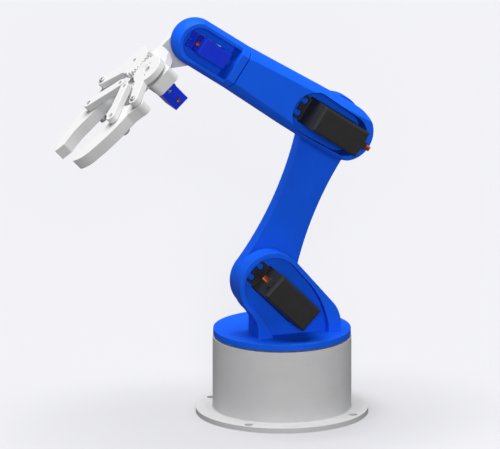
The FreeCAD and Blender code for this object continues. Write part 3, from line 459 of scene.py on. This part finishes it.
def screw(name, size, axis):
    """A pan-head screw with a cross recess, in place of its plain CAD solid."""
    radius, shank = size["radius"], size["shank"]
    base, top, tip = size["head_low"], size["head_high"], size["low"]
    if not size["upward"]:
        axis = -axis
        base, top, tip = -size["head_high"], -size["head_low"], -size["high"]
    tall, half_width, half_length = top - base, 0.13 * radius, 0.52 * radius
    cross = cross_radius(half_width, half_length)
    rings = [(cross_radius(0.6 * half_width, 0.5 * half_length), top - 0.62 * tall),
             (cross, top - 0.10 * tall),
             (cross_radius(1.25 * half_width, 1.04 * half_length), top - 0.04 * tall),
             (0.66 * radius, top - 0.02 * tall), (0.80 * radius, top - 0.09 * tall),
             (0.91 * radius, top - 0.24 * tall), (0.975 * radius, top - 0.46 * tall),
             (radius, top - 0.70 * tall), (radius, base + 0.06 * tall), (0.97 * radius, base),
             (shank, base), (shank, tip + 0.4 * shank), (0.6 * shank, tip)]
    corners = cross_corners(half_width, half_length)
    return turned(name, size["line"], axis, rings, round_angles(corners))


def socket_bolt(name, size, axis):
    """A low button-head bolt with a hexagon socket."""
    radius, shank = size["radius"], size["shank"]
    base, top, tip = size["head_low"], size["head_high"], size["low"]
    tall, socket = top - base, 0.50 * radius
    corners = [k * math.pi / 3 for k in range(6)]
    rings = [(hexagon_radius(0.93 * socket), base + 0.15 * tall),
             (hexagon_radius(socket), top - 0.08 * tall),
             (hexagon_radius(1.08 * socket), top), (0.70 * radius, top - 0.03 * tall),
             (0.86 * radius, top - 0.22 * tall), (0.96 * radius, top - 0.52 * tall),
             (radius, base + 0.10 * tall), (0.97 * radius, base), (shank, base),
             (shank, tip + 0.25 * shank), (0.8 * shank, tip)]
    return turned(name, size["line"], axis, rings, round_angles(corners))


def hexagon_nut(name, size, axis):
    """A hexagon nut with turned corners."""
    radius, low, high = size["radius"], size["low"], size["high"]
    corners = [k * math.pi / 3 for k in range(6)]
    full, tall = hexagon_radius(radius), high - low
    faced = 0.90 * radius

    def trimmed(angle):
        return min(full(angle), 0.955 * radius)

    rings = [(0.56 * radius, low + 0.96 * tall), (0.60 * radius, high), (faced - 0.03 * radius, high),
             (trimmed, high - 0.06 * tall), (full, high - 0.14 * tall), (full, low + 0.14 * tall),
             (trimmed, low + 0.06 * tall), (faced - 0.03 * radius, low), (0.60 * radius, low),
             (0.56 * radius, low + 0.04 * tall)]
    return turned(name, size["line"], axis, rings, round_angles(corners))


def fit_fasteners():
    """Each fastener node is replaced by one detailed piece for each of its solids."""
    for node in [name for name, kind in SLOT_OF.items() if kind == "steel" and "shaft" not in name]:
        axis = AXIS_OF[node.split("_")[0]]
        for count, (_, points) in enumerate(islands(NODES[node].data)):
            size = measure(points, axis)
            name = "%s_%d" % (node, count + 1)
            plain = size["head_high"] - size["head_low"] > 0.9 * (size["high"] - size["low"])
            if plain:
                piece = hexagon_nut(name, size, axis)
            elif node.endswith("bolts"):
                piece = socket_bolt(name, size, axis)
            else:
                piece = screw(name, size, axis)
            piece.data.materials.append(pivot_steel if node.endswith("bolts") else steel)
            piece.data.polygons.foreach_set("use_smooth", [True] * len(piece.data.polygons))
            smooth = piece.modifiers.new("edges", "BEVEL")
            smooth.width, smooth.segments = SCREW_EDGE, 1
            smooth.limit_method, smooth.angle_limit = "ANGLE", math.radians(35)
            normal = piece.modifiers.new("normals", "WEIGHTED_NORMAL")
            normal.keep_sharp = False
            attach(piece, BODY_OF[node])
            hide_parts(node)


fit_fasteners()


# ---------------------------------------------------------------- floor, light and camera
def floor():
    """A pale floor, plain to the eye, that throws back only part of the light."""
    mesh = bpy.data.meshes.new("floor")
    reach = 30.0
    mesh.from_pydata([(-reach, -reach, 0), (reach, -reach, 0), (reach, reach, 0), (-reach, reach, 0)],
                     [], [(0, 1, 2, 3)])
    plane = bpy.data.objects.new("floor", mesh)
    bpy.context.scene.collection.objects.link(plane)
    material, tree, shader = new_material("floor")
    ray = add(tree, "ShaderNodeLightPath")
    thrown_back, looked_at = (0.14, 0.14, 0.145), (0.505, 0.505, 0.525)
    seen = mix(tree, ray.outputs["Is Camera Ray"], thrown_back, looked_at)
    tree.links.new(seen, shader.inputs["Base Color"])
    set_inputs(shader, Roughness=0.9, Specular_IOR_Level=0.0)
    mesh.materials.append(material)


def soft_sun(name, toward, strength, spread):
    """Soft, even studio light from one side; spread is its width in degrees."""
    data = bpy.data.lights.new(name, "SUN")
    data.energy = strength
    data.angle = math.radians(spread)
    lamp = bpy.data.objects.new(name, data)
    lamp.rotation_mode = "QUATERNION"
    lamp.rotation_quaternion = (-Vector(toward)).to_track_quat("-Z", "Y")
    bpy.context.scene.collection.objects.link(lamp)


def camera():
    """The reference view: from the arm's left, turned a little to its front, with a very long lens."""
    azimuth, elevation = math.radians(160.0), math.radians(14.9)
    back = Vector((math.sin(azimuth) * math.cos(elevation), -math.cos(azimuth) * math.cos(elevation),
                   math.sin(elevation)))
    right = Vector((math.cos(azimuth), math.sin(azimuth), 0))
    up = back.cross(right)
    frame_width, distance = 0.3571, 15.0
    toward_camera, aside, above = 0.05, 0.0229, 0.1334
    target = back * toward_camera - right * aside + up * above
    data = bpy.data.cameras.new("camera")
    data.sensor_width = 36.0
    data.lens = data.sensor_width * distance / frame_width
    data.clip_start, data.clip_end = 0.1, 90.0
    seat = bpy.data.objects.new("camera", data)
    seat.location = target + back * distance
    seat.rotation_mode = "QUATERNION"
    seat.rotation_quaternion = (-back).to_track_quat("-Z", "Y")
    bpy.context.scene.collection.objects.link(seat)
    bpy.context.scene.camera = seat


def world():
    """A faint, even light from every side."""
    sky = bpy.data.worlds.new("studio")
    sky.use_nodes = True
    background = next(n for n in sky.node_tree.nodes if n.type == "BACKGROUND")
    background.inputs["Color"].default_value = (0.97, 0.98, 1.0, 1.0)
    background.inputs["Strength"].default_value = 0.12
    bpy.context.scene.world = sky


floor()
world()
soft_sun("key", toward=(0.10, 0.02, 1.0), strength=4.8, spread=50)
soft_sun("front", toward=(0.30, 0.91, 0.26), strength=1.42, spread=12)
soft_sun("side", toward=(-0.80, 0.50, 0.10), strength=0.40, spread=40)
camera()
bpy.context.scene.view_settings.view_transform = "Standard"
bpy.context.scene.view_settings.look = "None"
